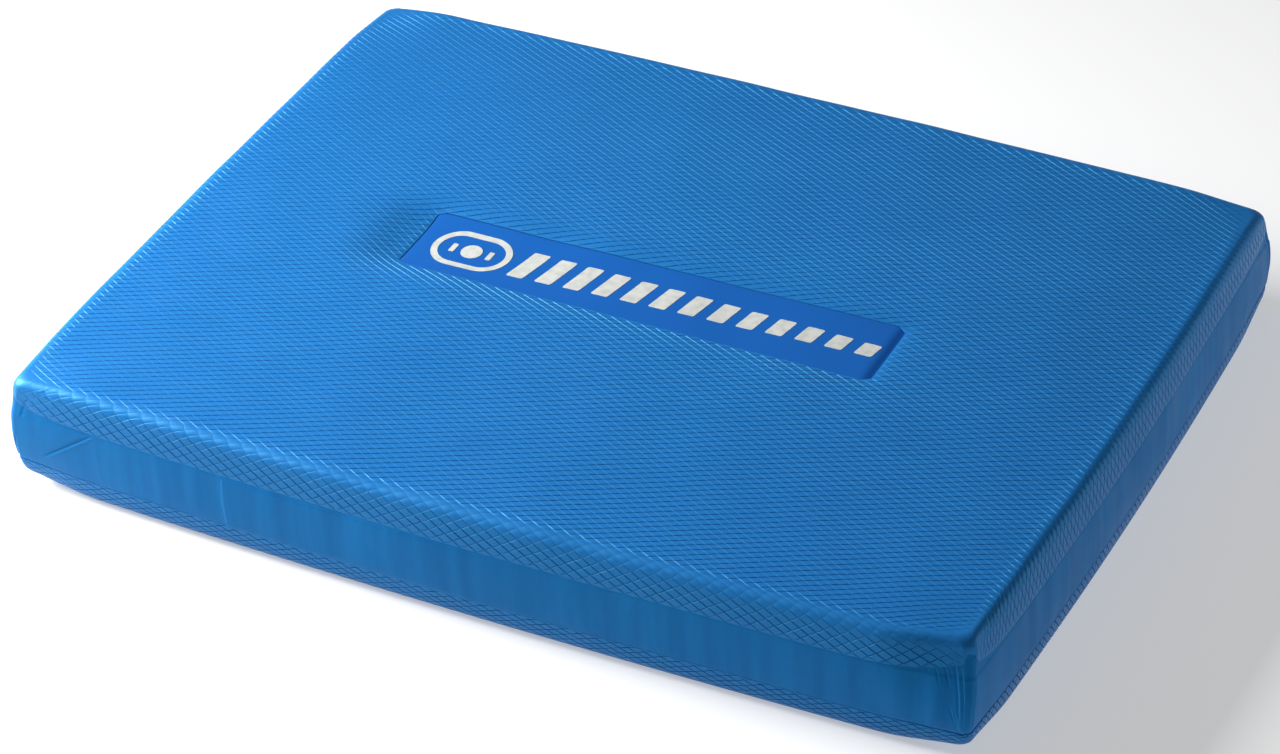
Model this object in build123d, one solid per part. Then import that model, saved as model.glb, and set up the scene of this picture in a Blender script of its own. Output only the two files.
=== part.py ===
from build123d import *
import math
import os

# Balance pad: a soft foam block skinned with film. Millimetres, +Z up.
# The origin is at the centre of the underside, +X runs along the long side and the
# label reads from -X to +X for someone standing at the front, which is the -Y side.

# Overall size, measured over the swell of the side walls
LENGTH = 480.0
WIDTH = 360.0
HEIGHT = 60.0

# Outline and section
EDGE_BOW = 4.5  # how far the middle of each side stands out beyond its ends
CORNER_RADIUS = 16.0
SIDE_SWELL = 2.6  # how far mid height stands out beyond the top and the underside
TOP_EDGE_RADIUS = 5.0
BOTTOM_EDGE_RADIUS = 10.0

# Skin
FILM = 0.8  # thickness of the embossed sheets and of the side strip
TOP_SKIRT = 17.5  # how far the top sheet comes down the sides
BOTTOM_SKIRT = 14.0  # how far the bottom sheet comes up them
LAP_X = -122.0  # where the ends of the side strip overlap, on the front
LAP_LENGTH = 12.0
LAP_STEP = 0.4  # how far the overlap stands proud of the strip

# Label: a smooth patch in a hollow pressed into the top
LABEL_LENGTH = 240.0
LABEL_WIDTH = 42.0
LABEL_CORNER = 3.0
LABEL_THICKNESS = 0.5
RECESS_DEPTH = 1.8
RECESS_MARGIN = 0.5  # flat floor around the patch
RECESS_SLOPE = 3.0  # how far the hollow's walls lean out, floor to rim
INK = 0.2

# Print: a bubble-level mark and a row of slanted bars
MARK_X = -92.0
MARK_LENGTH = 40.0
MARK_WIDTH = 27.0
MARK_STROKE = 3.2
BUBBLE_RADIUS = 5.2
TICK_LENGTH = 6.4
TICK_WIDTH = 2.6
TICK_X = 9.6
BAR_COUNT = 13
BARS_START = -62.0
BARS_END = 110.0
BAR_WIDTH = 8.4
BAR_TALLEST = 21.0
BAR_SHORTEST = 9.0
BAR_LEAN = 12.0  # degrees

# Heights worked out from the above
SKIRT_Z = HEIGHT - TOP_SKIRT
RECESS_Z = HEIGHT - RECESS_DEPTH
PATCH_Z = RECESS_Z + LABEL_THICKNESS
FAR = 2 * LENGTH  # longer than anything in the part


def outline(inset, z):
    """The pad's bowed outline with round corners, drawn in from the widest one, at height z."""
    half_length = LENGTH / 2 - inset
    half_width = WIDTH / 2 - inset
    corner_x = half_length - EDGE_BOW
    corner_y = half_width - EDGE_BOW
    with BuildSketch(Plane.XY.offset(z)) as sketch:
        with BuildLine():
            ThreePointArc((-corner_x, -corner_y), (0, -half_width), (corner_x, -corner_y))
            ThreePointArc((corner_x, -corner_y), (half_length, 0), (corner_x, corner_y))
            ThreePointArc((corner_x, corner_y), (0, half_width), (-corner_x, corner_y))
            ThreePointArc((-corner_x, corner_y), (-half_length, 0), (-corner_x, -corner_y))
        make_face()
        fillet(sketch.vertices(), CORNER_RADIUS - inset)
    return sketch.sketch


def block(inset):
    """The pad's form, inset evenly from the outer surface, before the label's hollow."""
    with BuildPart() as form:
        add(outline(inset + SIDE_SWELL, inset))
        add(outline(inset, HEIGHT / 2))
        add(outline(inset + SIDE_SWELL, HEIGHT - inset))
        loft()
        fillet(form.faces().sort_by(Axis.Z)[-1].edges(), TOP_EDGE_RADIUS - inset)
        fillet(form.faces().sort_by(Axis.Z)[0].edges(), BOTTOM_EDGE_RADIUS - inset)
    return form.part


def hollow(inset):
    """What is cut away for the label, its floor and walls moved inwards by inset."""
    depth = RECESS_DEPTH + 1.0
    lean = math.degrees(math.atan2(RECESS_SLOPE, RECESS_DEPTH))
    grown = 2 * (RECESS_MARGIN + inset)
    with BuildPart() as cut:
        with BuildSketch(Plane.XY.offset(RECESS_Z - inset)):
            RectangleRounded(LABEL_LENGTH + grown, LABEL_WIDTH + grown, LABEL_CORNER + inset)
        extrude(amount=depth, taper=-lean)
    return cut.part


def slab(low, high):
    """Everything between two heights."""
    thickness = high - low
    return Pos(0, 0, low) * Box(FAR, FAR, thickness, align=(Align.CENTER, Align.CENTER, Align.MIN))


def foam_core():
    """The closed-cell foam block that the film is bonded to."""
    return block(FILM) - hollow(FILM)


def skin(core):
    """All the film as one shell, which the three sheets are cut from."""
    return block(0.0) - hollow(0.0) - core


def top_cover(shell):
    """Embossed sheet over the top and down the sides, with the label's hollow pressed in."""
    return shell & slab(SKIRT_Z, HEIGHT + 1)


def bottom_cover(shell):
    """Embossed sheet under the pad, turned up around its lower edge."""
    return shell & slab(-1, BOTTOM_SKIRT)


def side_band(shell):
    """Smooth strip around the sides, its ends lapped on the front."""
    strip = shell & slab(BOTTOM_SKIRT, SKIRT_Z)
    height = SKIRT_Z - BOTTOM_SKIRT
    lap_place = Pos(LAP_X, -WIDTH / 2, BOTTOM_SKIRT + height / 2)
    lap_zone = lap_place * Box(LAP_LENGTH, WIDTH / 4, height)
    lap = (Pos(0, -LAP_STEP, 0) * strip) & lap_zone
    return strip + lap


def label_panel():
    """Smooth patch that lies on the floor of the hollow."""
    with BuildPart() as patch:
        with BuildSketch(Plane.XY.offset(RECESS_Z)):
            RectangleRounded(LABEL_LENGTH, LABEL_WIDTH, LABEL_CORNER)
        extrude(amount=LABEL_THICKNESS)
    return patch.part


def bar_outline(height):
    """Corners of one slanted bar."""
    lean = height / 2 * math.tan(math.radians(BAR_LEAN))
    half = BAR_WIDTH / 2
    return [
        (-half - lean, -height / 2),
        (half - lean, -height / 2),
        (half + lean, height / 2),
        (-half + lean, height / 2),
    ]


def label_print():
    """Ink on the patch: a level's mark at the left, then bars that grow shorter."""
    with BuildPart() as ink:
        with BuildSketch(Plane.XY.offset(PATCH_Z)):
            with Locations((MARK_X, 0)):
                SlotOverall(MARK_LENGTH, MARK_WIDTH)
                SlotOverall(MARK_LENGTH - 2 * MARK_STROKE, MARK_WIDTH - 2 * MARK_STROKE, mode=Mode.SUBTRACT)
                Circle(BUBBLE_RADIUS)
            with Locations((MARK_X - TICK_X, 0), (MARK_X + TICK_X, 0)):
                Rectangle(TICK_WIDTH, TICK_LENGTH)
            pitch = (BARS_END - BARS_START) / (BAR_COUNT - 1)
            drop = (BAR_TALLEST - BAR_SHORTEST) / (BAR_COUNT - 1)
            for i in range(BAR_COUNT):
                height = BAR_TALLEST - i * drop
                with Locations((BARS_START + i * pitch, 0)):
                    Polygon(*bar_outline(height), align=None)
        extrude(amount=INK)
    return ink.part


core = foam_core()
shell = skin(core)
nodes = {
    "foam_core": core,
    "top_cover": top_cover(shell),
    "side_band": side_band(shell),
    "bottom_cover": bottom_cover(shell),
    "label_panel": label_panel(),
    "label_print": label_print(),
}

os.makedirs("parts", exist_ok=True)
for name, shape in nodes.items():
    export_step(shape, "parts/" + name + ".step")
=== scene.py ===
import math

import bmesh
import bpy
import numpy as np
from mathutils import Matrix, Vector


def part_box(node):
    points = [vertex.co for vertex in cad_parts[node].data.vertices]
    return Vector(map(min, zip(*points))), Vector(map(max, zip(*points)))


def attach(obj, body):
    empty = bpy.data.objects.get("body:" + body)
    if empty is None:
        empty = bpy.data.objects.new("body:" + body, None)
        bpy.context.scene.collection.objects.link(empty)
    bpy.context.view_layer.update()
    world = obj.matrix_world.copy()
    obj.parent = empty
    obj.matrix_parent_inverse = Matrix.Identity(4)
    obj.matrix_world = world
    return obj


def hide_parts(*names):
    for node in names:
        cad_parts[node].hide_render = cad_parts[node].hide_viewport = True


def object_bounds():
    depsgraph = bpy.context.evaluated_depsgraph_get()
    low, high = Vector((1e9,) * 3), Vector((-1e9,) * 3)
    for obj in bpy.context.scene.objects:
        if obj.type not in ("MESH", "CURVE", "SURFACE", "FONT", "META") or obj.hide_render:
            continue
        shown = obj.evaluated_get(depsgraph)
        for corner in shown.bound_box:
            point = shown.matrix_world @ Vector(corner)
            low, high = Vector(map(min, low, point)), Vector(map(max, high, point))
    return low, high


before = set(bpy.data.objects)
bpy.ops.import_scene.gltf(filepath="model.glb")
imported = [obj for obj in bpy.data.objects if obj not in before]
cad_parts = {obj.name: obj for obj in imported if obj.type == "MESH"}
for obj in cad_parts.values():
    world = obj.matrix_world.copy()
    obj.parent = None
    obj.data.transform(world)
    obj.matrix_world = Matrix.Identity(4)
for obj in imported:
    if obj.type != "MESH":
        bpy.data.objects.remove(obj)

# Balance pad: a soft foam block skinned with film. The pieces are worked out in
# millimetres in the row frame and become metres in make_piece(). Every piece lies on the
# same soft form, so that the sheets, the side strip and the foam fit each other.

cad_low, cad_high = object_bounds()

# ---------------------------------------------------------------- sizes, in millimetres
MM = 0.001
LENGTH, WIDTH, HEIGHT = [float(v) / MM for v in cad_high - cad_low]
HALF_X = LENGTH / 2
HALF_Y = WIDTH / 2
TOP_SHEET_EDGE_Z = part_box("top_cover")[0].z / MM
BOTTOM_SHEET_EDGE_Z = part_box("bottom_cover")[1].z / MM
PATCH_LOW, PATCH_HIGH = [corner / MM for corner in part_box("label_panel")]
PATCH_HALF_X = (PATCH_HIGH.x - PATCH_LOW.x) / 2
PATCH_HALF_Y = (PATCH_HIGH.y - PATCH_LOW.y) / 2
PATCH_CORNER = 3.0

# The section through a side: an arc, a barrelled wall, a larger arc
TOP_RADIUS = 5.0
BOTTOM_RADIUS = 7.6
WALL_RADIUS = 150.0
WALL_MIDDLE_Z = 27.0
CORNER = 8.0  # plan radius where the top's flat part ends
CORNER_GROWTH = -0.55  # share of the walls' swell added to the corner radius, here taken off

TILT_TOP = math.asin((HEIGHT - TOP_RADIUS - WALL_MIDDLE_Z) / (WALL_RADIUS - TOP_RADIUS))
TILT_BOTTOM = math.asin((WALL_MIDDLE_Z - BOTTOM_RADIUS) / (WALL_RADIUS - BOTTOM_RADIUS))
SWELL = WALL_RADIUS - (WALL_RADIUS - TOP_RADIUS) * math.cos(TILT_TOP)
UNDERSIDE_OUT = SWELL - WALL_RADIUS + (WALL_RADIUS - BOTTOM_RADIUS) * math.cos(TILT_BOTTOM)
TOP_ARC = TOP_RADIUS * (math.pi / 2 - TILT_TOP)
WALL_END = TOP_ARC + WALL_RADIUS * (TILT_TOP + TILT_BOTTOM)
SECTION_END = WALL_END + BOTTOM_RADIUS * (math.pi / 2 - TILT_BOTTOM)
INNER_X = HALF_X - SWELL - CORNER  # the rectangle that all the roundings start from
INNER_Y = HALF_Y - SWELL - CORNER
CORNER_MIDDLE = CORNER + CORNER_GROWTH * SWELL  # plan radius at mid height
CORNER_RUN = math.pi / 2 * CORNER_MIDDLE

# Film and emboss
FILM = 0.8
DIAMOND_X = 7.5
DIAMOND_Y = 3.75
PILLOW = 0.85  # size of a diamond's raised part, of the whole diamond
TOP_EMBOSS = 0.40
BOTTOM_EMBOSS = 0.60
CORNER_FADE = 20.0  # how near a corner the emboss is pulled flat
SKIRT_STRETCH = 1.32  # how much the top sheet is drawn out where it turns down
LOWER_STRETCH = 0.85  # the bottom sheet is pushed together there
BLANK_REACH = 17.0  # how far from a corner the sheets' edges are drawn in
TOP_BLANK_CORNER, TOP_DRAW_IN = 26.0, 20.0  # corner radius and draw-in of the flat sheet
BOTTOM_BLANK_CORNER, BOTTOM_DRAW_IN = 18.0, 12.0
IRONED_AT, IRONED_WIDTH = 1.8, 4.5  # where, past the top's edge, a bend irons the emboss out
EDGE_PRESS, EDGE_PRESS_REACH = 0.25, 3.0  # how far a sheet's cut edge is pressed down

rng = np.random.default_rng(7)


# ---------------------------------------------------------------- the soft form
def smooth(low, high, x):
    """0 below low, 1 above high, with an even slope into both."""
    t = np.clip((x - low) / (high - low), 0.0, 1.0)
    return t * t * (3.0 - 2.0 * t)


def bump(x, middle, width):
    """1 at middle, falling to 0 on both sides."""
    return np.exp(-(((x - middle) / width) ** 2))


def rectangle_distance(x, y, half_x, half_y, corner):
    """Distance from a rounded rectangle's edge, negative inside, and the way out of it."""
    qx = np.abs(x) - (half_x - corner)
    qy = np.abs(y) - (half_y - corner)
    outside = np.hypot(np.maximum(qx, 0), np.maximum(qy, 0))
    distance = outside + np.minimum(np.maximum(qx, qy), 0) - corner
    in_corner = (qx > 0) & (qy > 0)
    safe = np.maximum(outside, 1e-9)
    way_x = np.where(in_corner, qx / safe, (qx >= qy) * 1.0) * np.sign(x)
    way_y = np.where(in_corner, qy / safe, (qx < qy) * 1.0) * np.sign(y)
    return distance, way_x, way_y


def section(s):
    """Outward offset and height, a distance s along the section from the flat of the top."""
    top_angle = np.clip(s, 0, TOP_ARC) / TOP_RADIUS
    wall_angle = TILT_TOP - np.clip(s - TOP_ARC, 0, WALL_END - TOP_ARC) / WALL_RADIUS
    low_angle = TILT_BOTTOM + np.clip(s - WALL_END, 0, SECTION_END - WALL_END) / BOTTOM_RADIUS
    stretches = [s < 0, s < TOP_ARC, s < WALL_END, s < SECTION_END]
    offsets = [
        s,
        TOP_RADIUS * np.sin(top_angle),
        SWELL - WALL_RADIUS * (1 - np.cos(wall_angle)),
        UNDERSIDE_OUT + BOTTOM_RADIUS * np.cos(low_angle),
    ]
    heights = [
        HEIGHT + 0 * s,
        HEIGHT - TOP_RADIUS * (1 - np.cos(top_angle)),
        WALL_MIDDLE_Z + WALL_RADIUS * np.sin(wall_angle),
        BOTTOM_RADIUS * (1 - np.sin(low_angle)),
    ]
    out = np.select(stretches, offsets, UNDERSIDE_OUT - (s - SECTION_END))
    z = np.select(stretches, heights, 0.0)
    return out, z


def section_at(z):
    """Distance along the section at which the wall is at height z."""
    return TOP_ARC + WALL_RADIUS * (TILT_TOP - math.asin((z - WALL_MIDDLE_Z) / WALL_RADIUS))


def corner_run(cx, cy, nx, ny, side_x, side_y):
    """Distance round the pad from one corner's middle, negative towards the front or back."""
    angle = np.arctan2(side_y * ny, side_x * nx)
    before = INNER_X - side_x * cx
    past = INNER_Y - side_y * cy
    return CORNER_MIDDLE * (math.pi / 4 - angle) - before + past


def fold(run, z, start, end, width, depth):
    """A crease pressed into film from start to end, each (run, z), with a lip along one side."""
    ax, az = start
    bx, bz = end
    length = math.hypot(bx - ax, bz - az)
    along = ((run - ax) * (bx - ax) + (z - az) * (bz - az)) / length**2
    across = ((run - ax) * (bz - az) - (z - az) * (bx - ax)) / length
    fade = smooth(-0.12, 0.15, along) * (1 - smooth(0.75, 1.12, along))
    crease = -depth * bump(across, 0, width)
    lip = 0.5 * depth * bump(across, -1.9 * width, 1.2 * width)
    return fade * (crease + lip)


# Folds at each corner, as (start run, start z), (end run, end z), width, depth. The front
# right corner is the most gathered one.
FOLDS = {
    (1, -1): [
        ((-15.5, 50), (-14.0, 38), 0.42, 0.20),
        ((-12.0, 51), (-9.5, 38), 0.42, 0.24),
        ((-7.0, 50), (-4.8, 20), 0.5, 0.26),
        ((-4.0, 46), (-2.6, 16), 0.45, 0.24),
        ((-9.0, 27), (-4.0, 13), 0.4, 0.24),
        ((-6.8, 25), (-2.8, 11), 0.4, 0.26),
        ((-1.2, 42), (-0.6, 11), 0.45, 0.22),
        ((2.0, 40), (1.2, 14), 0.5, 0.16),
        ((-19.0, 49), (-18.2, 43), 0.4, 0.18),
        ((-22.5, 47), (-22.1, 43), 0.4, 0.12),
    ],
    (-1, -1): [
        ((-9.0, 54), (-6.0, 40), 0.8, 0.16),
        ((1.0, 50), (1.5, 20), 0.9, 0.22),
        ((-16.0, 60), (-13.0, 56), 0.5, 0.22),
        ((6.0, 46), (3.0, 18), 0.8, 0.20),
        ((-3.0, 28), (-0.5, 13), 0.6, 0.22),
    ],
    (1, 1): [
        ((-6.0, 55), (-4.0, 32), 0.9, 0.45),
        ((0.5, 53), (0.0, 17), 1.1, 0.60),
        ((5.0, 50), (2.0, 16), 0.9, 0.45),
        ((-8.0, 34), (-2.5, 14), 0.8, 0.45),
    ],
    (-1, 1): [
        ((-7.0, 54), (-4.5, 36), 0.9, 0.40),
        ((0.0, 55), (-0.8, 16), 1.1, 0.65),
        ((4.5, 42), (1.5, 14), 0.9, 0.50),
        ((9.0, 52), (8.0, 42), 0.8, 0.30),
    ],
}


def folds_at(cx, cy, nx, ny, x, y, z):
    """Height of the corner folds, outwards."""
    total = np.zeros_like(x)
    for (side_x, side_y), folds in FOLDS.items():
        near = (x * side_x > INNER_X - 20) & (y * side_y > INNER_Y - 20)
        run = corner_run(cx, cy, nx, ny, side_x, side_y)
        for start, end, width, depth in folds:
            total += near * fold(run, z, start, end, width, depth)
    return total


SWAY = 0.35  # how far the walls wander in and out

# How far the middle of each side stands out beyond its ends
BOW_FRONT = 5.1
BOW_BACK = 3.2
BOW_RIGHT = 4.3
BOW_LEFT = 2.4
# How the lower corners are tucked up and in
TUCK_REACH = 46.0
TUCK_HEIGHT = 34.0
TUCK_LIFT = 4.4
TUCK_PULL = 1.0
# How the top falls away: towards its sides, and at its corners
CROWN = 0.9
DROOP_FRONT_LEFT = 1.5
DROOP_FRONT_RIGHT = 0.1
DROOP_BACK_RIGHT = 2.3
DROOP_BACK_LEFT = 3.2
LEAN_FRONT_RIGHT = 6.3  # how far that corner's upper end leans back
# The hollow that the label is pressed into, deepest at its left end
DIP, DIP_REACH = 0.9, 5.0
FUNNEL_DEPTH, FUNNEL_WIDTH = 3.2, 25.0
FUNNEL_BEFORE, FUNNEL_AFTER = 16.0, 140.0
FUNNEL_X, FUNNEL_Y = -PATCH_HALF_X - 2.0, -3.0
# Shallow waves of the top: (depth, length along x, length along y, turn, phase)
WAVES = [
    (0.40, 210, 170, 0.4, 0.3),
    (0.34, 120, 150, -0.5, 1.7),
    (0.26, 85, 75, 0.9, 4.1),
    (0.14, 52, 60, -0.2, 2.6),
]


def top_fall(x, y):
    """How far the top lies below its highest level."""
    fx, fy = x / HALF_X, y / HALF_Y
    fall = CROWN * (0.5 * fx**4 + 0.5 * fy**4)
    for depth, length_x, length_y, turn, phase in WAVES:
        a = 2 * math.pi * (x * math.cos(turn) + y * math.sin(turn)) / length_x + phase
        b = 2 * math.pi * (y * math.cos(turn) - x * math.sin(turn)) / length_y + 2 * phase
        fall = fall + depth * (0.5 + 0.5 * np.sin(a) * np.cos(b))
    beside = rectangle_distance(x, y, PATCH_HALF_X, PATCH_HALF_Y, PATCH_CORNER)[0]
    fall = fall + DIP * np.exp(-np.maximum(beside, 0) / DIP_REACH)
    along = x - FUNNEL_X
    length = np.where(along < 0, FUNNEL_BEFORE, FUNNEL_AFTER)
    funnel = np.exp(-((along / length) ** 2) - ((y - FUNNEL_Y) / FUNNEL_WIDTH) ** 4)
    return fall + FUNNEL_DEPTH * funnel


def soften(x, y, z, cx, cy, nx, ny):
    """Turns the straight-edged form into the soft one: bowed, crowned, tucked and folded."""
    fx, fy = x / HALF_X, y / HALF_Y
    bow_x = np.where(x > 0, BOW_RIGHT, BOW_LEFT)
    bow_y = np.where(y > 0, BOW_BACK, BOW_FRONT)
    near_x = smooth(HALF_X - TUCK_REACH, HALF_X, np.abs(x))
    near_y = smooth(HALF_Y - TUCK_REACH, HALF_Y, np.abs(y))
    near = near_x * near_y
    tuck = near * np.clip(1 - z / TUCK_HEIGHT, 0, 1) ** 2
    out = folds_at(cx, cy, nx, ny, x, y, z)
    side = smooth(0, CORNER, np.hypot(x - cx, y - cy))
    sway = SWAY * np.sin(x / 31 + 1.2) * np.cos(y / 27) * np.sin(z / HEIGHT * math.pi)
    out = out + side * sway
    lean = near * LEAN_FRONT_RIGHT * smooth(0.2, 1.0, z / HEIGHT) * ((x > 0) & (y < 0))
    px = x - np.sign(x) * (bow_x * fx**4 * fy**2 + TUCK_PULL * tuck) + nx * out
    py = y - np.sign(y) * (bow_y * fy**4 * fx**2 + TUCK_PULL * tuck) + ny * out + lean
    front = np.where(x > 0, DROOP_FRONT_RIGHT, DROOP_FRONT_LEFT)
    back = np.where(x > 0, DROOP_BACK_RIGHT, DROOP_BACK_LEFT)
    fall = top_fall(x, y) + np.where(y > 0, back, front) * near
    pz = z + TUCK_LIFT * tuck - fall * smooth(0.35, 1.0, z / HEIGHT)
    return np.stack([px, py, pz], axis=-1)


def on_pad(cx, cy, nx, ny, s):
    """The point a distance s along the section that starts at (cx, cy) and runs along n."""
    out, z = section(s)
    swell = np.where(s < 0, 0, (1 - CORNER_GROWTH) * np.maximum(out, UNDERSIDE_OUT))
    reach = CORNER + out - swell
    x = cx * (1 + swell / INNER_X) + nx * reach
    y = cy * (1 + swell / INNER_Y) + ny * reach
    return soften(x, y, z, cx, cy, nx, ny)


def footing(u, v):
    """Nearest point of the inner rectangle, distance from it, and the direction."""
    cx = np.clip(u, -INNER_X, INNER_X)
    cy = np.clip(v, -INNER_Y, INNER_Y)
    distance = np.hypot(u - cx, v - cy)
    safe = np.maximum(distance, 1e-9)
    return cx, cy, distance, (u - cx) / safe, (v - cy) / safe


def on_top(u, v):
    """Where a point of the top sheet's flat blank lies once the sheet is on the pad."""
    cx, cy, distance, nx, ny = footing(u, v)
    s = distance - CORNER
    s = np.where(s > 0, s * SKIRT_STRETCH, s)
    return on_pad(cx, cy, nx, ny, s)


def on_underside(u, v):
    """The same for the bottom sheet, which starts from the underside."""
    cx, cy, distance, nx, ny = footing(u, v)
    past = distance - (CORNER + UNDERSIDE_OUT)
    past = np.where(past > 0, past * LOWER_STRETCH, past)
    return on_pad(cx, cy, nx, ny, SECTION_END - past)


def round_the_side(t):
    """Footing and direction a distance t round the pad, from mid-front towards +X."""
    runs = [INNER_X, CORNER_RUN, 2 * INNER_Y, CORNER_RUN, 2 * INNER_X]
    runs = runs + [CORNER_RUN, 2 * INNER_Y, CORNER_RUN, INNER_X]
    knots = np.concatenate([[0], np.cumsum(runs)])
    x, y, q = INNER_X, INNER_Y, math.pi / 2
    cx = np.interp(t, knots, [0, x, x, x, x, -x, -x, -x, -x, 0])
    cy = np.interp(t, knots, [-y, -y, -y, y, y, y, y, -y, -y, -y])
    turn = np.interp(t, knots, [-q, -q, 0, 0, q, q, 2 * q, 2 * q, 3 * q, 3 * q])
    return cx, cy, np.cos(turn), np.sin(turn)


ROUND = 4 * (INNER_X + INNER_Y) + 4 * CORNER_RUN


def normals_of(place, u, v, step=0.2):
    """Unit normals of a placed surface, from small steps both ways."""
    du = place(u + step, v) - place(u - step, v)
    dv = place(u, v + step) - place(u, v - step)
    normal = np.cross(du, dv)
    return normal / np.maximum(np.linalg.norm(normal, axis=-1, keepdims=True), 1e-12)


# ---------------------------------------------------------------- meshes
SHARP = 24.0  # edges that bend more than this, in degrees, are shaded as sharp


def make_piece(name, points, faces, material, replaced):
    """A named piece from points in millimetres, riding on the pad's one body."""
    mesh = bpy.data.meshes.new(name)
    mesh.from_pydata((points * MM).tolist(), [], faces)
    mesh.update()
    mesh.validate()
    mesh.set_sharp_from_angle(angle=math.radians(SHARP))
    obj = bpy.data.objects.new(name, mesh)
    bpy.context.scene.collection.objects.link(obj)
    mesh.materials.append(material)
    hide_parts(replaced)
    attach(obj, "root")
    return obj


def open_edges(faces):
    """The edges that only one face uses, in that face's direction."""
    seen = {}
    for face in faces:
        for a, b in zip(face, face[1:] + face[:1]):
            key = (min(a, b), max(a, b))
            seen[key] = None if key in seen else (a, b)
    return [edge for edge in seen.values() if edge is not None]


def band_faces(number):
    """Faces of a band whose points are numbered (round, along), closed round on itself."""
    after = np.roll(number, -1, axis=0)
    faces = np.stack([number[:, :-1], number[:, 1:], after[:, 1:], after[:, :-1]], axis=-1)
    return [tuple(face) for face in faces.reshape(-1, 4).tolist()]


def add_rim(points, faces, moves):
    """Turns the open edges in by moves, one vector for each point."""
    edges = open_edges(faces)
    rim = sorted({v for edge in edges for v in edge})
    new = {v: len(points) + i for i, v in enumerate(rim)}
    points = np.vstack([points, points[rim] + moves[rim]])
    walls = [(b, a, new[a], new[b]) for a, b in edges]
    return points, list(faces) + walls


def lattice(half_u, half_v):
    """Diamonds over a rectangle: a groove point at each crossing, four on each pillow."""
    step_u, step_v = DIAMOND_X / 2, DIAMOND_Y / 2
    last_m, last_n = int(half_u / step_u) + 2, int(half_v / step_v) + 2
    columns, rows = np.arange(-last_m, last_m + 1), np.arange(-last_n, last_n + 1)
    m, n = np.meshgrid(columns, rows, indexing="ij")
    number = np.arange(m.size).reshape(m.shape)
    u, v = m * step_u, n * step_v
    is_cell = ((m + n) % 2 != 0)[1:-1, 1:-1]
    mi, ni = np.nonzero(is_cell)
    mi, ni = mi + 1, ni + 1
    around = [(1, 0), (0, 1), (-1, 0), (0, -1)]
    nodes = np.stack([number[mi + a, ni + b] for a, b in around], axis=1)
    centres = np.stack([u[mi, ni], v[mi, ni]], axis=1)
    flat = np.stack([u.ravel(), v.ravel()], axis=1)
    pillow = centres[:, None, :] + PILLOW * (flat[nodes] - centres[:, None, :])
    return flat, nodes, pillow


def blank_distance(u, v, half_u, half_v, corner, draw_in):
    """Distance from a sheet's cut edge, which is drawn in towards the corners."""
    distance, way_u, way_v = rectangle_distance(u, v, half_u, half_v, corner)
    to_corner = np.hypot(half_u - np.abs(u), half_v - np.abs(v))
    return distance + draw_in * np.exp(-to_corner / BLANK_REACH), way_u, way_v


def pull_back(flat, blank, hole):
    """Moves points that are off the blank, or in its hole, to the edge that they crossed."""
    u, v = flat[:, 0].copy(), flat[:, 1].copy()
    edge = np.zeros(len(u), bool)
    for _ in range(3):
        distance, way_u, way_v = blank_distance(u, v, *blank)
        off = distance > 0.001
        u[off] -= (distance * way_u)[off]
        v[off] -= (distance * way_v)[off]
        edge |= off
    if hole:
        distance, way_u, way_v = rectangle_distance(u, v, *hole)
        off = distance < 0
        u[off] -= (distance * way_u)[off]
        v[off] -= (distance * way_v)[off]
        edge |= off
    return np.stack([u, v], axis=1), edge


def diamond_faces(blank, hole):
    """The flat blank as points (u, v, level) and faces; level is 1 on a pillow, 0 in a groove."""
    flat, nodes, pillow = lattice(blank[0], blank[1])
    keep = (blank_distance(flat[:, 0], flat[:, 1], *blank)[0][nodes] < 0).any(axis=1)
    if hole:
        keep &= (rectangle_distance(flat[:, 0], flat[:, 1], *hole)[0][nodes] > 0).any(axis=1)
    nodes, pillow = nodes[keep], pillow[keep]
    used, nodes = np.unique(nodes, return_inverse=True)
    nodes = nodes.reshape(-1, 4)
    flat = np.vstack([flat[used], pillow.reshape(-1, 2)])
    level = np.concatenate([np.zeros(len(used)), np.ones(len(pillow) * 4)])
    inner = len(used) + np.arange(len(pillow) * 4).reshape(-1, 4)
    flat, edge = pull_back(flat, blank, hole)
    level[edge] = 0.5
    quads = [inner]
    for i in range(4):
        j = (i + 1) % 4
        quads.append(np.stack([nodes[:, i], nodes[:, j], inner[:, j], inner[:, i]], axis=1))
    quads = np.concatenate(quads)
    corner = flat[quads]
    twice = corner[:, [1, 2, 3, 0]]
    area = (corner[..., 0] * twice[..., 1] - corner[..., 1] * twice[..., 0]).sum(axis=1) / 2
    quads = quads[area > 0.02]
    return np.column_stack([flat, level]), quads


def refine(points, quads, zones):
    """Halves the faces in each zone, a test of (u, v), so that they follow tight bends."""
    bm = bmesh.new()
    made = [bm.verts.new(p) for p in points]
    for quad in quads:
        bm.faces.new([made[i] for i in quad])
    loose = [v for v in bm.verts if not v.link_faces]
    bmesh.ops.delete(bm, geom=loose, context="VERTS")
    for zone in zones:
        centres = np.array([f.calc_center_median() for f in bm.faces])
        chosen = zone(centres[:, 0], centres[:, 1])
        bm.faces.ensure_lookup_table()
        edges = {e for i in np.nonzero(chosen)[0] for e in bm.faces[i].edges}
        bmesh.ops.subdivide_edges(bm, edges=list(edges), cuts=1, use_grid_fill=True)
    bmesh.ops.remove_doubles(bm, verts=bm.verts, dist=0.02)
    bm.verts.index_update()
    points = np.array([v.co for v in bm.verts])
    faces = [tuple(v.index for v in f.verts) for f in bm.faces]
    bm.free()
    return points, faces


def corner_zone(u, v, margin=14.0):
    """Where a sheet turns round a vertical corner."""
    return (np.abs(u) > INNER_X - margin) & (np.abs(v) > INNER_Y - margin)


def tight_corner(u, v):
    """The middle of that, where the sheet turns most."""
    return corner_zone(u, v, 8.0)


def end_zone(u, v):
    """Where a sheet bends over the short sides, across the diamonds' long way."""
    return np.abs(u) > INNER_X + CORNER - 6.0


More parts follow.
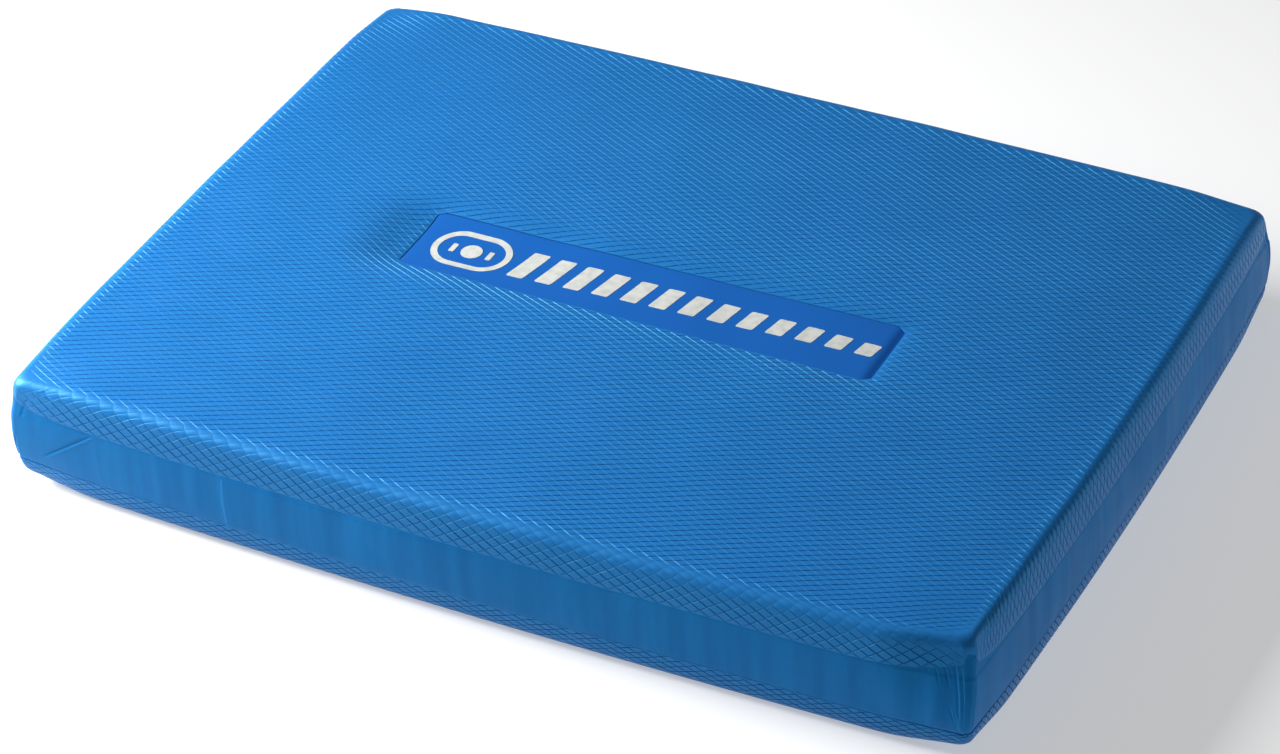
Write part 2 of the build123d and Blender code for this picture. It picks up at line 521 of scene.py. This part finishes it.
def crease_zone(u, v):
    """Where a sheet bends over the long sides."""
    past_edge = np.abs(v) - INNER_Y - CORNER
    return (past_edge > -1.5) & (past_edge < 7.5)


def embossed_sheet(name, place, outward, blank, hole, zones, depth, flattening, replaced):
    """A film sheet with raised diamonds, placed on the pad, its cut edges turned in.

    outward is 1 where the blank's normal points out of the pad, -1 where it points in;
    flattening is how much of the depth is lost at the corners and along the bent edge."""
    points, faces = refine(*diamond_faces(blank, hole), zones)
    u, v, level = points.T
    normal = normals_of(place, u, v) * outward
    from_edge = -blank_distance(u, v, *blank)[0]
    past_edge = footing(u, v)[2] - CORNER
    to_corner_x = np.maximum(INNER_X + CORNER - np.abs(u), 0)
    to_corner_y = np.maximum(INNER_Y + CORNER - np.abs(v), 0)
    at_corner = np.exp(-(to_corner_x**2 + to_corner_y**2) / CORNER_FADE**2)
    fade = smooth(-0.3, 1.5, from_edge) * (1 - flattening[0] * at_corner)
    fade = fade * (1 - flattening[1] * bump(past_edge, IRONED_AT, IRONED_WIDTH))
    pressed = depth * fade * (1 - level)
    pressed = pressed + EDGE_PRESS * (1 - smooth(0, EDGE_PRESS_REACH, from_edge))
    placed = place(u, v) - normal * pressed[:, None]
    moves = -normal * FILM
    if hole:
        beside, way_u, way_v = rectangle_distance(u, v, *hole)
        at_hole = beside < 1.0
        inwards = np.stack([-way_u, -way_v, 0 * u], axis=1)
        moves = np.where(at_hole[:, None], 0.5 * inwards - normal * HOLE_WALL, moves)
    if outward < 0:
        faces = [tuple(reversed(face)) for face in faces]
    placed, faces = add_rim(placed, faces, moves)
    return make_piece(name, placed, faces, EMBOSSED, replaced)


# ---------------------------------------------------------------- materials
def srgb(r, g, b):
    """Display colour, 0 to 255, as the linear colour that shaders take."""
    return [((c / 255 + 0.055) / 1.055) ** 2.4 if c > 10 else c / 255 / 12.92 for c in (r, g, b)]


class Nodes:
    """A new material and short ways to add the nodes that its shader reads."""

    def __init__(self, name):
        self.material = bpy.data.materials.new(name)
        self.material.use_nodes = True
        self.tree = self.material.node_tree
        self.shader = self.tree.nodes["Principled BSDF"]
        self.where = self.add("ShaderNodeTexCoord").outputs["Object"]

    def add(self, kind, values=(), **wires):
        """A node with its sockets set from values, and the named ones wired to outputs."""
        node = self.tree.nodes.new(kind)
        for socket, value in dict(values).items():
            node.inputs[socket].default_value = value
        for socket, source in wires.items():
            self.tree.links.new(source, node.inputs[socket])
        return node

    def wire(self, socket, source):
        self.tree.links.new(source, self.shader.inputs[socket])

    def set(self, values):
        for socket, value in values.items():
            self.shader.inputs[socket].default_value = value

    def noise(self, scale, detail, flatten=1.0):
        """Cloudy noise over the object, drawn out upright when flatten is under 1."""
        squeeze = self.add("ShaderNodeMapping", {"Scale": (1, 1, flatten)}, Vector=self.where)
        values = {"Scale": scale, "Detail": detail}
        return self.add("ShaderNodeTexNoise", values, Vector=squeeze.outputs["Vector"]).outputs["Fac"]

    def rescale(self, value, low, high, start=0.3, end=0.7):
        """value, from start to end, spread over low to high."""
        values = {"From Min": start, "From Max": end, "To Min": low, "To Max": high}
        return self.add("ShaderNodeMapRange", values, Value=value).outputs["Result"]

    def blend(self, amount, first, second):
        """A colour between two, each a colour or an output."""
        node = self.add("ShaderNodeMix")
        node.data_type = "RGBA"
        self.tree.links.new(amount, node.inputs[0])
        for socket, value in ((node.inputs[6], first), (node.inputs[7], second)):
            if isinstance(value, bpy.types.NodeSocket):
                self.tree.links.new(value, socket)
            else:
                socket.default_value = (*value, 1)
        return node.outputs[2]

    def ramp(self, value, first, second, start=0.0, end=1.0):
        """A colour ramp from first at start to second at end."""
        node = self.add("ShaderNodeValToRGB", Fac=value)
        for stop, position, colour in zip(node.color_ramp.elements, (start, end), (first, second)):
            stop.position = position
            stop.color = (*colour, 1)
        return node.outputs["Color"]

    def relief(self, height, strength, distance):
        """Fine relief on the shader, distance in metres."""
        values = {"Strength": strength, "Distance": distance}
        self.wire("Normal", self.add("ShaderNodeBump", values, Height=height).outputs["Normal"])


def film_material(name, colour, deep, roughness, grain, streak, level):
    """Satin elastomer film: cloudy colour, fine grain, and upright streaks if streak > 0."""
    film = Nodes(name)
    cloudy = film.blend(film.rescale(film.noise(9, 3), 0, 0.5), colour, deep)
    cloudy = film.blend(film.rescale(film.noise(420, 2), 0, 0.14), cloudy, deep)
    if streak:
        cloudy = film.blend(film.rescale(film.noise(150, 4, 0.06), 0, streak), cloudy, deep)
    film.wire("Base Color", cloudy)
    film.wire("Roughness", film.rescale(film.noise(60, 4), roughness - 0.05, roughness + 0.05))
    film.relief(film.noise(2600, 2), grain, 0.00006)
    film.set({"Specular IOR Level": level, "Specular Tint": (0.02, 0.65, 1.0, 1)})
    return film.material


def ink_material():
    """Printed ink: off-white, matt, slightly uneven."""
    ink = Nodes("print_ink")
    patches = ink.noise(260, 5)
    ink.wire("Base Color", ink.ramp(patches, srgb(176, 179, 175), srgb(194, 196, 191), 0.3, 0.6))
    ink.wire("Roughness", ink.rescale(patches, 0.48, 0.62, 0.0, 1.0))
    ink.relief(patches, 0.25, 0.00005)
    return ink.material


def foam_material():
    """Closed-cell foam: matt, with small bubbles."""
    foam = Nodes("foam")
    cells = foam.add("ShaderNodeTexVoronoi", {"Scale": 900}, Vector=foam.where).outputs["Distance"]
    foam.wire("Base Color", foam.ramp(cells, srgb(60, 120, 175), srgb(105, 165, 210)))
    foam.relief(cells, 0.6, 0.0004)
    foam.set({"Roughness": 0.85})
    return foam.material


EMBOSSED = film_material(
    "embossed_film", (0.014, 0.150, 0.425), (0.011, 0.128, 0.38),
    roughness=0.43, grain=0.5, streak=0, level=0.48,
)
STRIP = film_material(
    "side_film", (0.008, 0.168, 0.45), (0.006, 0.108, 0.33),
    roughness=0.5, grain=0.35, streak=0.8, level=0.14,
)
PATCH = film_material(
    "label_film", (0.009, 0.100, 0.39), (0.008, 0.092, 0.36),
    roughness=0.36, grain=0.25, streak=0, level=0.32,
)
INK = ink_material()
FOAM = foam_material()

# ---------------------------------------------------------------- the sheets
HOLE_WALL = 1.5  # how far the top sheet goes down round the label
HOLE_GAP = 0.3
HOLE = (PATCH_HALF_X + HOLE_GAP, PATCH_HALF_Y + HOLE_GAP, PATCH_CORNER)

top_reach = CORNER + section_at(TOP_SHEET_EDGE_Z) / SKIRT_STRETCH
embossed_sheet(
    "top_sheet", on_top, 1,
    blank=(INNER_X + top_reach, INNER_Y + top_reach, TOP_BLANK_CORNER, TOP_DRAW_IN),
    hole=HOLE,
    zones=[end_zone, crease_zone, corner_zone, tight_corner],
    depth=TOP_EMBOSS,
    flattening=(0.75, 0.92),
    replaced="top_cover",
)

bottom_skirt = (SECTION_END - section_at(BOTTOM_SHEET_EDGE_Z)) / LOWER_STRETCH
bottom_reach = CORNER + UNDERSIDE_OUT + bottom_skirt
embossed_sheet(
    "bottom_sheet", on_underside, -1,
    blank=(INNER_X + bottom_reach, INNER_Y + bottom_reach, BOTTOM_BLANK_CORNER, BOTTOM_DRAW_IN),
    hole=None,
    zones=[end_zone, corner_zone],
    depth=BOTTOM_EMBOSS,
    flattening=(0.2, 0.0),
    replaced="bottom_cover",
)

# ---------------------------------------------------------------- the side strip
STRIP_SINK = 0.5  # how far the strip lies below the pillows of the sheets, under them
STRIP_RISE = 0.34  # how much of that it gains between them
STRIP_DROP = 0.3  # how much further it lies below the bottom sheet
SEAM_X = -116.0  # where the strip's outer end is, on the front
LAP_RUN = 190.0  # how far from it the lap's thickness fades out
LAP_STEP = 0.22
LAP_LINE = section_at(TOP_SHEET_EDGE_Z) + 2.0  # the lap's upper edge, down the section
LOW_LINE = section_at(BOTTOM_SHEET_EDGE_Z)  # where the strip goes under the bottom sheet
CREASE = ((-184.0, 41.0), (-211.0, 20.0))  # a slanting crease near the front left corner
RIPPLES = 240
SCAN = 0.05  # step of the scan that spaces the columns and the rows


def front_x(t):
    """x of a place on the front, a distance t round the pad from its middle."""
    return np.where(t > ROUND / 2, t - ROUND, t)


def spaced(scan, gap):
    """Places along a scan, as far apart as gap says at each."""
    count = np.cumsum(SCAN / gap)
    return np.interp(np.arange(int(count[-1])), count, scan)


def strip_columns():
    """Places round the pad, closer together at corners, at the seam and at the crease."""
    t = np.arange(0, ROUND, SCAN)
    cx, cy = round_the_side(t)[:2]
    to_corner = INNER_X - np.abs(cx) + INNER_Y - np.abs(cy)
    x = front_x(t)
    gap = np.where(to_corner < 22, 0.4, 1.7)
    gap = np.where(np.abs(x - SEAM_X) < 2.5, 0.3, gap)
    gap = np.where((x > CREASE[1][0] - 5) & (x < CREASE[0][0] + 5), 0.5, gap)
    return spaced(t, gap)


def strip_rows():
    """Places down the section, closer together at the lap's upper edge."""
    s = np.arange(TOP_ARC - 2, LOW_LINE + 8, SCAN)
    return spaced(s, np.where(np.abs(s - LAP_LINE) < 1.2, 0.3, 0.95))


def strip_relief(t, s, z):
    """Height of the strip's own marks: the lap, the crease and faint upright ripples."""
    x = front_x(t)
    under = smooth(LAP_LINE - 0.3, LAP_LINE + 0.3, s)
    lap = smooth(SEAM_X - 0.35, SEAM_X + 0.35, x) * (1 - smooth(SEAM_X + 60, SEAM_X + LAP_RUN, x))
    relief = LAP_STEP * lap * under
    relief = relief + fold(x, z, CREASE[0], CREASE[1], 0.55, 0.6)
    between = smooth(LAP_LINE - 2.2, LAP_LINE - 1.4, s)
    between = between * (1 - smooth(LOW_LINE - 0.4, LOW_LINE + 0.2, s))
    relief = relief + STRIP_RISE * between
    relief = relief - STRIP_DROP * smooth(LOW_LINE + 0.6, LOW_LINE + 1.8, s)
    reach = smooth(BOTTOM_SHEET_EDGE_Z, 20, z) * (1 - smooth(38, 48, z))
    ripples = np.zeros_like(relief)
    for _ in range(RIPPLES):
        middle = rng.uniform(0, ROUND)
        width = rng.uniform(1.8, 6.0)
        height = rng.normal(0, 0.10)
        lean = rng.normal(0, 0.02)
        ripples += height * bump(t + lean * (z - 25), middle, width)
    return relief + ripples * (0.25 + 0.75 * reach)


def side_strip():
    """The smooth strip round the sides, its upper and lower edges under the sheets."""
    t_line, s_line = strip_columns(), strip_rows()
    t, s = np.meshgrid(t_line, s_line, indexing="ij")

    def place(t, s):
        cx, cy, nx, ny = round_the_side(np.mod(t, ROUND))
        return on_pad(cx, cy, nx, ny, s)

    normal = -normals_of(place, t, s, 0.1)
    relief = strip_relief(t, s, section(s)[1]) - STRIP_SINK
    points = (place(t, s) + normal * relief[..., None]).reshape(-1, 3)
    faces = band_faces(np.arange(t.size).reshape(t.shape))
    points, faces = add_rim(points, faces, -FILM * normal.reshape(-1, 3))
    make_piece("side_strip", points, faces, STRIP, "side_band")


side_strip()

# ---------------------------------------------------------------- the label
PATCH_SINK = 0.2  # below the pressed-in top around it
ROLL, ROLL_REACH = 0.2, 2.2  # how far the patch's edges are pressed down
END_ROLL, END_ROLL_REACH = 0.9, 2.8  # more at its right end
PATCH_FILM = 0.5
INK_HEIGHT = 0.12


def patch_height(x, y):
    """The patch's upper surface, which is pressed down along its edges."""
    inside = -rectangle_distance(x, y, PATCH_HALF_X, PATCH_HALF_Y, PATCH_CORNER)[0]
    roll = ROLL * np.exp(-inside / ROLL_REACH)
    roll = roll + END_ROLL * np.exp(-(((PATCH_HALF_X - x) / END_ROLL_REACH) ** 2))
    return HEIGHT - top_fall(x, y) - PATCH_SINK - roll


def plate(a_count, b_count, outline, height):
    """A grid that outline(a, b) spreads in plan, height above the patch's upper surface."""
    a, b = np.meshgrid(np.linspace(-1, 1, a_count), np.linspace(-1, 1, b_count), indexing="ij")
    x, y = outline(a.ravel(), b.ravel())
    points = np.stack([x, y, patch_height(x, y) + height], axis=1)
    number = np.arange(a_count * b_count).reshape(a_count, b_count)
    faces = np.stack([number[:-1, :-1], number[1:, :-1], number[1:, 1:], number[:-1, 1:]], axis=-1)
    return points, [tuple(f) for f in faces.reshape(-1, 4).tolist()]


def thicken(points, faces, thickness):
    """Closes a thin plate with walls and a back."""
    down = np.array([0, 0, -thickness])
    back = [tuple(v + len(points) for v in reversed(face)) for face in faces]
    walls = [(b, a, a + len(points), b + len(points)) for a, b in open_edges(faces)]
    return np.vstack([points, points + down]), list(faces) + back + walls


def rounded(half_x, half_y, corner):
    """Outline of a rounded rectangle, for plate()."""

    def outline(a, b):
        x, y = a * half_x, b * half_y
        distance, way_x, way_y = rectangle_distance(x, y, half_x, half_y, corner)
        over = np.maximum(distance, 0)
        return x - over * way_x, y - over * way_y

    return outline


def moved(outline, at, lean=0.0):
    """The same outline at x = at, leaning over by lean for each millimetre of y."""

    def outline_there(a, b):
        x, y = outline(a, b)
        return x + at + y * lean, y

    return outline_there


def label_patch():
    """The smooth patch, on a grid of about 1 mm."""
    outline = rounded(PATCH_HALF_X, PATCH_HALF_Y, PATCH_CORNER)
    points, faces = plate(241, 43, outline, 0.0)
    points, faces = thicken(points, faces, PATCH_FILM)
    make_piece("label_patch", points, faces, PATCH, "label_panel")


MARK_X = -92.0
MARK_HALF_LENGTH, MARK_HALF_WIDTH, MARK_STROKE = 20.0, 13.5, 3.2
BUBBLE_RADIUS = 5.2
TICK_X, TICK_HALF_WIDTH, TICK_HALF_LENGTH, TICK_CORNER = 9.6, 1.3, 3.2, 0.4
BAR_COUNT, BARS_START, BARS_END = 13, -62.0, 110.0
BAR_HALF_WIDTH, BAR_TALLEST, BAR_SHORTEST, BAR_CORNER = 4.2, 21.0, 9.0, 0.8
BAR_LEAN = math.tan(math.radians(12))


def ring_plate():
    """The level's frame: a capsule ring."""
    straight = MARK_HALF_LENGTH - MARK_HALF_WIDTH
    turn = np.linspace(0, 2 * math.pi, 120, endpoint=False)
    radius = np.linspace(MARK_HALF_WIDTH - MARK_STROKE, MARK_HALF_WIDTH, 4)
    turn, radius = np.meshgrid(turn, radius, indexing="ij")
    x = MARK_X + np.sign(np.cos(turn)) * straight + radius * np.cos(turn)
    y = radius * np.sin(turn)
    points = np.stack([x, y, patch_height(x, y) + INK_HEIGHT], axis=-1).reshape(-1, 3)
    return points, band_faces(np.arange(turn.size).reshape(turn.shape))


def label_ink():
    """The mark and the bars, as separate closed solids in one piece."""
    disc = rounded(BUBBLE_RADIUS, BUBBLE_RADIUS, BUBBLE_RADIUS)
    tick = rounded(TICK_HALF_WIDTH, TICK_HALF_LENGTH, TICK_CORNER)
    plates = [ring_plate(), plate(15, 15, moved(disc, MARK_X), INK_HEIGHT)]
    for at in (MARK_X - TICK_X, MARK_X + TICK_X):
        plates.append(plate(5, 8, moved(tick, at), INK_HEIGHT))
    for i in range(BAR_COUNT):
        share = i / (BAR_COUNT - 1)
        at = BARS_START + share * (BARS_END - BARS_START)
        half = (BAR_TALLEST - share * (BAR_TALLEST - BAR_SHORTEST)) / 2
        bar = rounded(BAR_HALF_WIDTH, half, BAR_CORNER)
        plates.append(plate(10, 20, moved(bar, at, BAR_LEAN), INK_HEIGHT))
    points, faces = np.zeros((0, 3)), []
    for part_points, part_faces in plates:
        part_points, part_faces = thicken(part_points, part_faces, 2 * INK_HEIGHT)
        faces += [tuple(v + len(points) for v in face) for face in part_faces]
        points = np.vstack([points, part_points])
    make_piece("label_ink", points, faces, INK, "label_print")


label_patch()
label_ink()

# ---------------------------------------------------------------- the foam inside
FOAM_INSET = 3.2  # clear of the film everywhere, the label's hollow included
FOAM_COLUMNS, FLAT_RINGS, WALL_RINGS = 420, 24, 44
FLAT_FROM, FLAT_TO = 0.04, 0.96  # the flats' innermost and outermost rings, of the whole flat


def foam_block():
    """The foam, closed all round: the top's rings, the walls' and the underside's."""
    t = np.linspace(0, ROUND, FOAM_COLUMNS, endpoint=False)
    cx, cy, nx, ny = round_the_side(t)

    def flat_ring(share, reach, z):
        x, y = share * (cx + reach * nx), share * (cy + reach * ny)
        return soften(x, y, z + 0 * x, cx, cy, 0 * nx, 0 * ny)

    shares = np.linspace(FLAT_FROM, FLAT_TO, FLAT_RINGS)
    rings = [flat_ring(share, CORNER, HEIGHT) for share in shares]
    for s in np.linspace(0, SECTION_END, WALL_RINGS):
        rings.append(on_pad(cx, cy, nx, ny, s + 0 * t))
    rings += [flat_ring(share, CORNER + UNDERSIDE_OUT, 0) for share in shares[::-1]]
    points = np.stack(rings)
    number = np.arange(points[..., 0].size).reshape(len(rings), len(t))
    faces = band_faces(number.T)
    faces += [tuple(number[0].tolist()), tuple(reversed(number[-1].tolist()))]
    middle = np.array([0, 0, HEIGHT / 2])
    half = np.array([LENGTH, WIDTH, HEIGHT]) / 2
    points = middle + (points.reshape(-1, 3) - middle) * (half - FOAM_INSET) / half
    return make_piece("foam_block", points, faces, FOAM, "foam_core")


foam_block()

# ---------------------------------------------------------------- stage, light and camera
FLOOR_SIZE = 14.0  # metres


def floor_material():
    """A matt pale floor that glows a little, like a lit paper sweep."""
    floor = Nodes("floor")
    noise = floor.add("ShaderNodeTexNoise", {"Scale": 3}, Vector=floor.where).outputs["Fac"]
    floor.wire("Base Color", floor.ramp(noise, (0.60, 0.60, 0.60), (0.63, 0.63, 0.63)))
    floor.set({"Roughness": 0.9, "Specular IOR Level": 0.1})
    floor.set({"Emission Color": (1, 1, 1, 1), "Emission Strength": 0.42})
    return floor.material


def add_floor():
    """The floor, just under the pad."""
    bpy.ops.mesh.primitive_plane_add(size=FLOOR_SIZE, location=(0, 0, -0.0002))
    floor = bpy.context.object
    floor.name = "floor"
    floor.data.materials.append(floor_material())


def add_softbox(name, place, aim, width, height, power, spread=180):
    """A rectangular studio light at place, turned to aim; metres, watts, degrees."""
    light = bpy.data.lights.new(name, "AREA")
    light.shape = "RECTANGLE"
    light.size = width
    light.size_y = height
    light.energy = power
    light.spread = math.radians(spread)
    obj = bpy.data.objects.new(name, light)
    bpy.context.scene.collection.objects.link(obj)
    obj.location = place
    obj.rotation_mode = "QUATERNION"
    obj.rotation_quaternion = (Vector(aim) - Vector(place)).to_track_quat("-Z", "Y")


def light_world(strength):
    """Even, slightly cool light from all round."""
    world = bpy.data.worlds.new("studio")
    world.use_nodes = True
    background = world.node_tree.nodes["Background"]
    background.inputs["Color"].default_value = (0.93, 0.96, 1.0, 1)
    background.inputs["Strength"].default_value = strength
    bpy.context.scene.world = world


# Where the camera is, seen from its target: degrees, metres, and the lens in millimetres
CAMERA_AZIMUTH, CAMERA_ELEVATION, CAMERA_ROLL = 29.02, 36.86, -3.39
CAMERA_DISTANCE, CAMERA_LENS = 2.0127, 123.10
CAMERA_TARGET = (-0.0019, -0.0088, 0.0156)


def add_camera():
    """The scene's camera, aimed at its target and then rolled."""
    azimuth, elevation = math.radians(CAMERA_AZIMUTH), math.radians(CAMERA_ELEVATION)
    back = Vector((
        math.sin(azimuth) * math.cos(elevation),
        -math.cos(azimuth) * math.cos(elevation),
        math.sin(elevation),
    ))
    across = Vector((0, 0, 1)).cross(back).normalized()
    up = back.cross(across)
    turn = Matrix((across, up, back)).transposed().to_4x4()
    roll = Matrix.Rotation(math.radians(CAMERA_ROLL), 4, "Z")
    data = bpy.data.cameras.new("camera")
    data.lens = CAMERA_LENS
    data.sensor_width = 36.0
    data.clip_start = 0.05
    data.clip_end = 50.0
    camera = bpy.data.objects.new("camera", data)
    place = Matrix.Translation(Vector(CAMERA_TARGET) + back * CAMERA_DISTANCE)
    camera.matrix_world = place @ turn @ roll
    bpy.context.scene.collection.objects.link(camera)
    bpy.context.scene.camera = camera


add_floor()
add_camera()
light_world(0.12)
add_softbox("key", (-1.15, -0.20, 0.66), (-0.08, -0.26, 0.03), 0.65, 0.55, power=14.5, spread=100)
add_softbox("front_left", (-0.75, -0.24, 0.34), (-0.2, -0.1, 0.03), 0.35, 0.25, power=2.6)
add_softbox("right_fill", (1.20, 0.45, 0.25), (0.2, 0, 0.03), 0.9, 0.4, power=3.5)
bpy.context.scene.view_settings.view_transform = "Standard"
bpy.context.scene.view_settings.look = "None"
